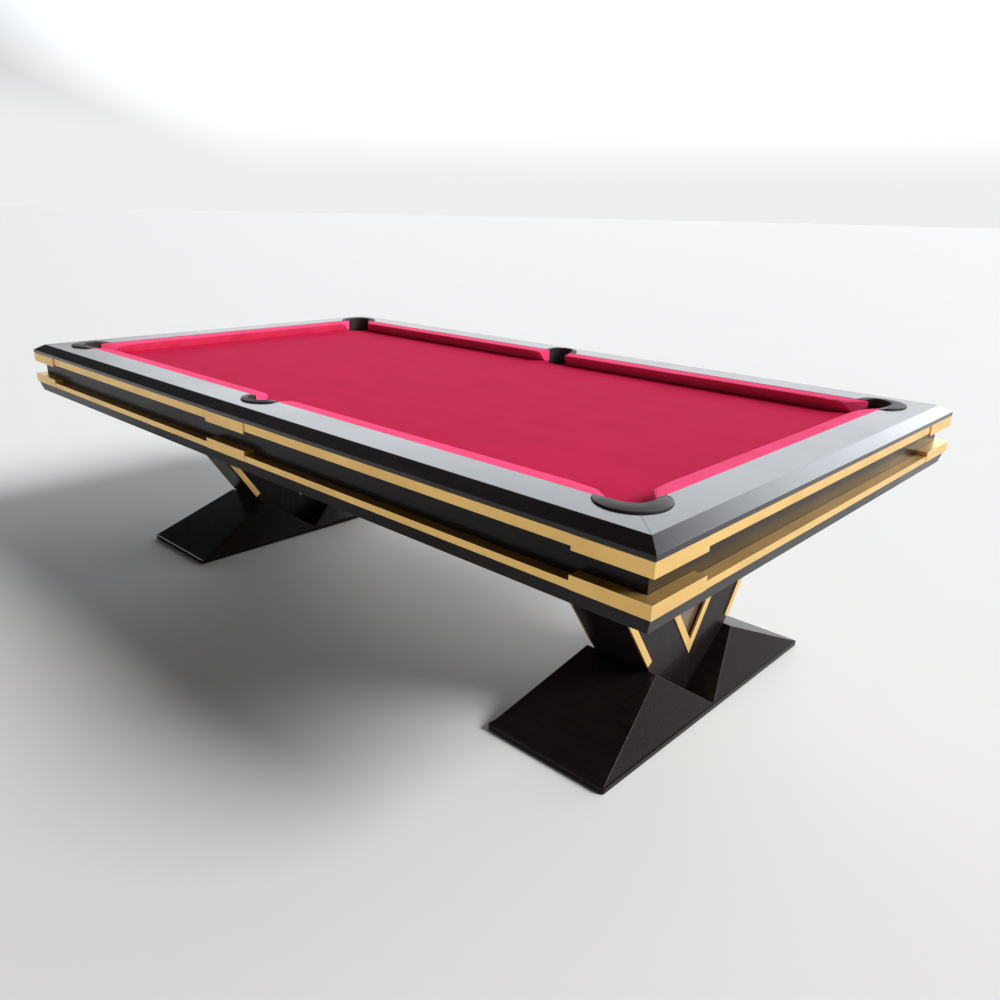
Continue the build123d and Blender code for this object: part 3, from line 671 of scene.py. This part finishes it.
def facing_cuts(point, along, out_of_room, lean, turn):
    """Planes that end a cushion: the facing, rounded in plan from the nose line and over the top.
    The facing leans from square across the cushion by the angle lean, away from the pocket."""
    ease = sizes().facing_ease
    point, along, into_room = Vector(point), Vector(along), -Vector(out_of_room)
    square = pi / 2 - lean
    rise = (cushion_high - top_at_nose) / (back_x - nose_x)
    top = (into_room * rise + Vector((0, 0, 1))).normalized()
    edge = point + Vector((0, 0, top_at_nose))
    centre = point - along * turn * tan(square / 2) - into_room * turn
    planes = []
    steps = 5
    for step in range(1, steps + 1):
        angle = square * step / steps
        level = into_room * cos(angle) + along * sin(angle)
        spot = centre + level * turn if step < steps else point
        planes.append((spot, level))
        corner = Vector((spot.x, spot.y, 0))
        corner.z = edge.z - rise * (corner - point).dot(into_room)
        for tilt in (radians(25), radians(50), radians(72)):
            normal = level * cos(tilt) + top * sin(tilt)
            planes.append((corner - (level + top - normal) * ease, normal))
    return planes


def cushion_bar(name, spot, low, high, cuts):
    """Runs the section from low to high. spot(depth, along, z) places a point."""
    section = cushion_section()
    bpy.ops.object.select_all(action="DESELECT")
    bpy.ops.mesh.primitive_circle_add(vertices=len(section), radius=0.02, fill_type="NGON")
    bar = settled(name)
    for vertex, (depth, z) in zip(bar.data.vertices, section):
        vertex.co = spot(depth, low, z)
    steps = 40
    move = spot(0, low + (high - low) / steps, 0) - spot(0, low, 0)
    in_edit(bar)
    bpy.ops.mesh.select_all(action="SELECT")
    for _ in range(steps):
        bpy.ops.mesh.extrude_region_move(TRANSFORM_OT_translate={"value": move})
    for point, outward in cuts:
        cut_off(point, outward)
    bpy.ops.mesh.select_all(action="SELECT")
    bpy.ops.mesh.normals_make_consistent(inside=False)
    done_editing()
    even_shading(bar, 40.0)
    return bar


def make_cushions():
    s = sizes()
    corner_lean, side_lean = radians(52), radians(14)
    set_back = s.corner_mouth * half_root
    long_end, end_point = nose_x - set_back, nose_y - set_back
    long_bar = cushion_bar(
        "cushion_long", lambda depth, along, z: Vector((along, -nose_y - depth, z)),
        -0.02, back_x + 0.05,
        facing_cuts((long_end, -nose_y, 0), (1, 0, 0), (0, -1, 0), corner_lean, s.corner_turn)
        + facing_cuts((s.side_mouth / 2, -nose_y, 0), (-1, 0, 0), (0, -1, 0), side_lean,
                      s.side_turn))
    end_bar = cushion_bar(
        "cushion_short", lambda depth, along, z: Vector((nose_x + depth, along, z)),
        -back_y - 0.05, back_y + 0.05,
        facing_cuts((nose_x, end_point, 0), (0, 1, 0), (1, 0, 0), corner_lean, s.corner_turn)
        + facing_cuts((nose_x, -end_point, 0), (0, -1, 0), (1, 0, 0), corner_lean,
                      s.corner_turn))
    for side, across_y in (("left", False), ("right", True)):
        for end, across_x in (("front", False), ("rear", True)):
            piece = mirrored(long_bar, f"cushion_bar_{side}_{end}", across_x, across_y)
            finish_piece(piece, finishes["cushion_x"], "cushion", "table",
                         f"cushion_{side}_{end}")
    for end, across_x in (("front", False), ("rear", True)):
        piece = mirrored(end_bar, "cushion_bar_" + end, across_x, False)
        finish_piece(piece, finishes["cushion_y"], "cushion", "table", "cushion_end_" + end)
    for bar in (long_bar, end_bar):
        bpy.data.objects.remove(bar, do_unlink=True)


def pocket_centres():
    """Every pocket: name, hole centre, hole radius, rim centre, rim radius."""
    s = sizes()
    found = []
    for end, x_sign in (("front", 1), ("rear", -1)):
        for side, y_sign in (("left", -1), ("right", 1)):
            hole, rim = (((nose_x + d * half_root) * x_sign, (nose_y + d * half_root) * y_sign)
                         for d in (s.corner_hole_set, s.corner_rim_set))
            found.append((end + "_" + side, hole, s.corner_hole, rim, s.corner_rim))
    for side, y_sign in (("left", -1), ("right", 1)):
        hole, rim = ((0.0, (nose_y + d) * y_sign) for d in (s.side_hole_set, s.side_rim_set))
        found.append(("side_" + side, hole, s.side_hole, rim, s.side_rim))
    return found


def flared_bore(x, y, low, high, radius, lip):
    """A bore that widens at its top, which leaves a rolled lip round the hole."""
    tool = round_bar("bore", x, y, low, high - lip, radius)
    pick(tool, "FACE", lambda face: face.normal.z > 0.9)
    steps = 5
    for step in range(steps):
        start, end = (pi / 2 * k / steps for k in (step, step + 1))
        wider = (radius + lip * (1 - cos(end))) / (radius + lip * (1 - cos(start)))
        rise = lip * (sin(end) - sin(start))
        bpy.ops.mesh.extrude_region_move(TRANSFORM_OT_translate={"value": (0, 0, rise)})
        bpy.ops.transform.resize(value=(wider, wider, 1.0), center_override=(x, y, high))
    bpy.ops.mesh.extrude_region_move(TRANSFORM_OT_translate={"value": (0, 0, lip)})
    done_editing()
    return tool


def at_corner(hole):
    return abs(hole[0]) > nose_x


def cut_ends(hole, hole_r):
    """Where a corner hole's edge meets the rails' inner lines."""
    run_x = sqrt(hole_r ** 2 - (back_y - abs(hole[1])) ** 2)
    run_y = sqrt(hole_r ** 2 - (back_x - abs(hole[0])) ** 2)
    side_x, side_y = copysign(1, hole[0]), copysign(1, hole[1])
    return ((hole[0] - side_x * run_x, side_y * back_y), (side_x * back_x, hole[1] - side_y * run_y))


def playing_room(hole, hole_r):
    """A block over the bed between the rails. At a corner it ends short of the hole's far side."""
    room = square_block("room", (-back_x, -back_y, 0), (back_x, back_y, 1))
    if at_corner(hole):
        outward = Vector((copysign(1, hole[0]), copysign(1, hole[1]), 0)).normalized()
        in_edit(room)
        cut_off(Vector((*cut_ends(hole, hole_r)[0], 0)), outward)
        done_editing()
    return room


def run_from_ends(point, hole, hole_r):
    """How far a point on a casting lies from the casting's ends."""
    past_x, past_y = abs(point.x) - back_x, abs(point.y) - back_y
    if not at_corner(hole):
        return max(past_y, 0.0)
    long_end, short_end = cut_ends(hole, hole_r)
    from_long = hypot(max(abs(point.x) - abs(long_end[0]), 0.0), max(past_y, 0.0))
    from_short = hypot(max(past_x, 0.0), max(abs(point.y) - abs(short_end[1]), 0.0))
    return min(from_long, from_short)


def casting_piece(name, hole, hole_r, rim, rim_r):
    """A crescent rim that falls outwards from a rolled lip, on a wall that lines the hole."""
    s = sizes()
    let_in, overlap = 0.0058, 0.001            # rim into the rail, and wall into the rim
    rim_low = rail_top - let_in
    edge_top = casting_top - s.rim_fall
    ring = round_bar("casting_rim_" + name, *rim, rim_low, edge_top, rim_r)
    pick(ring, "FACE", lambda face: face.normal.z > 0.9)
    bands = 5
    for band in range(bands):
        rise = sin(pi / 2 * (band + 1) / bands) - sin(pi / 2 * band / bands)
        bpy.ops.mesh.inset(thickness=s.rim_slope / bands, depth=0.0)
        bpy.ops.transform.translate(value=(0, 0, s.rim_fall * rise))
    done_editing()
    pick(ring, "EDGE", lambda a, b: min(a.z, b.z) > edge_top - 0.00001
         and hypot(a.x - rim[0], a.y - rim[1]) > rim_r - 0.0001
         and hypot(b.x - rim[0], b.y - rim[1]) > rim_r - 0.0001)
    bpy.ops.mesh.bevel(offset=s.rim_edge, segments=3, clamp_overlap=True)
    done_editing()
    wall = round_bar("wall", *hole, casting_low, rim_low + overlap, hole_r + s.wall)
    carve(ring, wall, "UNION")
    carve(ring, flared_bore(*hole, casting_low - 0.01, casting_top, hole_r, s.rim_lip))
    carve(ring, playing_room(hole, hole_r))
    least = 0.2                                 # share of the rim's height kept at its ends
    for vertex in ring.data.vertices:
        if vertex.co.z > rail_top:
            run = min(run_from_ends(vertex.co, hole, hole_r) / s.rim_taper, 1.0)
            kept = least + (1 - least) * run * run * (3 - 2 * run)
            vertex.co.z = rail_top + (vertex.co.z - rail_top) * kept
    even_shading(ring, 38.0)
    return ring


def make_pockets():
    for name, hole, hole_r, rim, rim_r in pocket_centres():
        ring = casting_piece(name, hole, hole_r, rim, rim_r)
        finish_piece(ring, finishes["casting"], "pocket_black", "table", "pocket_casting_" + name)
    refinish("corner_pocket_buckets", *finishes["rubber"])
    refinish("side_pocket_buckets", *finishes["rubber"])


def make_bed_cloth():
    s = sizes()
    cloth = clean_copy("bed_cloth", "bed_cloth_sheet")
    pick(cloth, "FACE", lambda face: face.normal.z < 0.9)
    bpy.ops.mesh.delete(type="FACE")
    done_editing()
    holes = [(hole, hole_r) for _, hole, hole_r, _, _ in pocket_centres()]

    near_line, near_hole, splay = 0.0002, 0.0045, 0.0012

    def over_pocket(point):
        inside = abs(point.x) < back_x + near_line and abs(point.y) < back_y + near_line
        return inside and any(hypot(point.x - h[0], point.y - h[1]) < r + near_hole
                              for h, r in holes)

    pick(cloth, "EDGE", lambda a, b: over_pocket(a) and over_pocket(b))
    bpy.ops.mesh.extrude_edges_move(TRANSFORM_OT_translate={"value": (0, 0, -s.cloth_drop)})
    done_editing()
    for vertex in cloth.data.vertices:
        if vertex.co.z < bed_top - s.cloth_drop / 2:
            near = min(holes, key=lambda h: hypot(vertex.co.x - h[0][0], vertex.co.y - h[0][1]))[0]
            outward = Vector((vertex.co.x - near[0], vertex.co.y - near[1], 0))
            vertex.co -= outward.normalized() * splay
    pick(cloth, "EDGE", lambda a, b: over_pocket(a) and over_pocket(b)
         and min(a.z, b.z) > bed_top - 0.0001)
    bpy.ops.mesh.bevel(offset=s.cloth_fold, segments=4, clamp_overlap=True)
    done_editing()
    thick = cloth.modifiers.new("thick", "SOLIDIFY")
    thick.thickness, thick.offset = s.cloth_thick, -1.0
    apply_modifier(cloth, thick)
    even_shading(cloth, 50.0)
    finish_piece(cloth, finishes["cloth"], "bed_cloth", "table", "bed_cloth")


def make_levellers():
    for end in ("front", "rear"):
        for side in ("left", "right"):
            corner = end + "_" + side
            refinish("leveller_pad_" + corner, *finishes["rubber"])
            refinish("leveller_stem_" + corner, *finishes["steel"])
    refinish("leveller_nuts", *finishes["steel"])
    refinish("plinth_glides", *finishes["rubber"])


def make_understructure():
    for node in ("slate_front", "slate_middle", "slate_rear"):
        refinish(node, *finishes["slate"])
    for node in ("slate_screws", "rail_bolts", "pedestal_bolts"):
        refinish(node, *finishes["steel"])
    for node in ("slate_backing", "frame_long_beams"):
        refinish(node, *finishes["pine_x"])
    for node in ("frame_cross_beams", "pedestal_top_plates"):
        refinish(node, *finishes["pine_y"])


def make_studio():
    settings = bpy.context.scene.pool_studio
    bpy.ops.object.select_all(action="DESELECT")
    bpy.ops.mesh.primitive_plane_add(size=400.0, location=(0, 0, cad_low.z))
    floor = settled("studio_floor")
    r = Recipe("studio_floor", 0.7)
    r.set("Base Color", r.mix(r.span(r.clouds(0.7, 3.0), 0.0, 1.0), colours().floor,
                              tuple(0.97 * x for x in colours().floor)))
    floor.data.materials.append(r.material)
    light = bpy.data.lights.new("key", "SUN")
    light.energy, light.angle = settings.key, settings.key_spread
    lamp = bpy.data.objects.new("key", light)
    towards_key = Vector((0.74, 0.34, 0.58))
    lamp.rotation_euler = towards_key.to_track_quat("Z", "Y").to_euler()
    bpy.context.scene.collection.objects.link(lamp)
    make_surroundings(settings)
    make_camera()


def make_surroundings(settings):
    """A dim studio, pale near the horizon, with one wide bright wall behind the table. The wall
    is brightest a little way up, at its window."""
    world = bpy.data.worlds.new("studio")
    world.use_nodes = True
    tree = world.node_tree
    background = tree.nodes["Background"]
    direction = tree.nodes.new("ShaderNodeTexCoord").outputs["Generated"]

    def towards(way, start, end, low, high):
        """low to high as the direction turns towards way."""
        along = tree.nodes.new("ShaderNodeVectorMath")
        along.operation = "DOT_PRODUCT"
        along.inputs[1].default_value = Vector(way).normalized()
        level = tree.nodes.new("ShaderNodeMapRange")
        level.interpolation_type = "SMOOTHSTEP"
        for name, value in (("From Min", start), ("From Max", end), ("To Min", low),
                            ("To Max", high)):
            level.inputs[name].default_value = value
        tree.links.new(direction, along.inputs[0])
        tree.links.new(along.outputs["Value"], level.inputs["Value"])
        return level.outputs["Result"]

    def joined(operation, first, second):
        node = tree.nodes.new("ShaderNodeMath")
        node.operation = operation
        tree.links.new(first, node.inputs[0])
        tree.links.new(second, node.inputs[1])
        return node.outputs["Value"]

    up = (0, 0, 1)
    rising = towards(up, 0.02, 0.36, settings.low_wall, settings.wall)
    below_ceiling = towards(up, 0.44, 0.70, 1.0, 0.0)
    behind = towards((0.1, 0.995, 0.0), -0.05, 0.45, 0.0, 1.0)
    window_start = towards((1, 0, 0), -0.20, 0.03, 1.0, settings.window)
    window_end = towards((1, 0, 0), 0.25, 0.70, 1.0, 0.2)
    wall = joined("MULTIPLY", joined("MULTIPLY", rising, below_ceiling), behind)
    wall = joined("MULTIPLY", joined("MULTIPLY", wall, window_start), window_end)
    around = towards(up, 0.06, 0.27, settings.low_wall, settings.shade)
    tree.links.new(joined("MAXIMUM", wall, around), background.inputs["Strength"])
    tint = tree.nodes.new("ShaderNodeMix")
    tint.data_type = "RGBA"
    tint.inputs[6].default_value = (1.0, 1.0, 1.0, 1.0)
    tint.inputs[7].default_value = (0.89, 0.94, 1.0, 1.0)
    tree.links.new(towards(up, 0.06, 0.24, 0.0, 1.0), tint.inputs[0])
    tree.links.new(tint.outputs[2], background.inputs["Color"])
    bpy.context.scene.world = world


def make_camera():
    eye = Vector((2.171, -1.9916, 1.369))
    yaw, pitch, roll = radians(132.88), radians(-19.08), radians(1.26)
    ahead = Vector((cos(yaw) * cos(pitch), sin(yaw) * cos(pitch), sin(pitch)))
    level = ahead.cross(Vector((0, 0, 1))).normalized()
    upward = level.cross(ahead)
    right = level * cos(roll) + upward * sin(roll)
    top = upward * cos(roll) - level * sin(roll)
    data = bpy.data.cameras.new("camera")
    data.sensor_width, data.lens = 36.0, 30.107
    data.clip_start, data.clip_end = 0.05, 200.0
    camera = bpy.data.objects.new("camera", data)
    turned = Matrix((right, top, -ahead)).transposed().to_4x4()
    camera.matrix_world = Matrix.Translation(eye) @ turned
    bpy.context.scene.collection.objects.link(camera)
    bpy.context.scene.camera = camera
    bpy.context.scene.view_settings.view_transform = "Standard"


# ---- operators and the panel ----------------------------------------------------
class TableOperator(bpy.types.Operator):
    bl_options = {"REGISTER", "UNDO"}
    steps = ()

    def execute(self, context):
        for step in self.steps:
            step()
        return {"FINISHED"}


class POOL_OT_finishes(TableOperator):
    """Mix the lacquers, gilding, cloth, rubber and metal that the pieces share"""
    bl_idname = "pool.finishes"
    bl_label = "Finishes"
    steps = (make_finishes,)


class POOL_OT_rails(TableOperator):
    """Lacquered rails with eased edges and mitred corners"""
    bl_idname = "pool.rails"
    bl_label = "Rails"
    steps = (make_rails,)


class POOL_OT_cushions(TableOperator):
    """Six cloth-covered cushions with rounded noses and cut facings"""
    bl_idname = "pool.cushions"
    bl_label = "Cushions"
    steps = (make_cushions,)


class POOL_OT_bed_cloth(TableOperator):
    """The stretched bed cloth, turned down into the pockets"""
    bl_idname = "pool.bed_cloth"
    bl_label = "Bed cloth"
    steps = (make_bed_cloth,)


class POOL_OT_pockets(TableOperator):
    """Pocket castings and the buckets under them"""
    bl_idname = "pool.pockets"
    bl_label = "Pockets"
    steps = (make_pockets,)


class POOL_OT_apron(TableOperator):
    """Apron, gilded bands and skirt"""
    bl_idname = "pool.apron"
    bl_label = "Apron and bands"
    steps = (make_apron,)


class POOL_OT_pedestals(TableOperator):
    """Both pedestals, with their gilded strips and their V panels, painted dark brown as shade"""
    bl_idname = "pool.pedestals"
    bl_label = "Pedestals"
    steps = (make_pedestals,)


class POOL_OT_levellers(TableOperator):
    """Levelling feet, their nuts and the plinth glides"""
    bl_idname = "pool.levellers"
    bl_label = "Levelling feet"
    steps = (make_levellers,)


class POOL_OT_understructure(TableOperator):
    """Slate, its timber frame and the fasteners"""
    bl_idname = "pool.understructure"
    bl_label = "Slate and frame"
    steps = (make_understructure,)


class POOL_OT_studio(TableOperator):
    """Floor, soft lights, surroundings and camera"""
    bl_idname = "pool.studio"
    bl_label = "Studio"
    steps = (make_studio,)


operators = (POOL_OT_finishes, POOL_OT_rails, POOL_OT_cushions, POOL_OT_bed_cloth,
             POOL_OT_pockets, POOL_OT_apron, POOL_OT_pedestals, POOL_OT_levellers,
             POOL_OT_understructure, POOL_OT_studio)


class POOL_PT_panel(bpy.types.Panel):
    """The pool table's pieces, sizes and colours"""
    bl_idname = "POOL_PT_panel"
    bl_label = "Pool table"
    bl_space_type = "VIEW_3D"
    bl_region_type = "UI"
    bl_category = "Pool table"

    def draw(self, context):
        for operator in operators:
            self.layout.operator(operator.bl_idname)
        for group in (context.scene.pool_sizes, context.scene.pool_colours,
                      context.scene.pool_studio):
            box = self.layout.box()
            for name in group.__annotations__:
                box.prop(group, name)


groups = (("pool_sizes", TableSizes), ("pool_colours", TableColours),
          ("pool_studio", StudioSettings))


def register():
    for _, group in groups:
        bpy.utils.register_class(group)
    for cls in (*operators, POOL_PT_panel):
        bpy.utils.register_class(cls)
    for name, group in groups:
        setattr(bpy.types.Scene, name, bpy.props.PointerProperty(type=group))


def unregister():
    for name, _ in groups:
        delattr(bpy.types.Scene, name)
    for cls in (POOL_PT_panel, *reversed(operators)):
        bpy.utils.unregister_class(cls)
    for _, group in reversed(groups):
        bpy.utils.unregister_class(group)


def main():
    register()
    for operator in operators:
        section, name = operator.bl_idname.split(".")
        getattr(getattr(bpy.ops, section), name)()


if __name__ == "__main__":
    main()
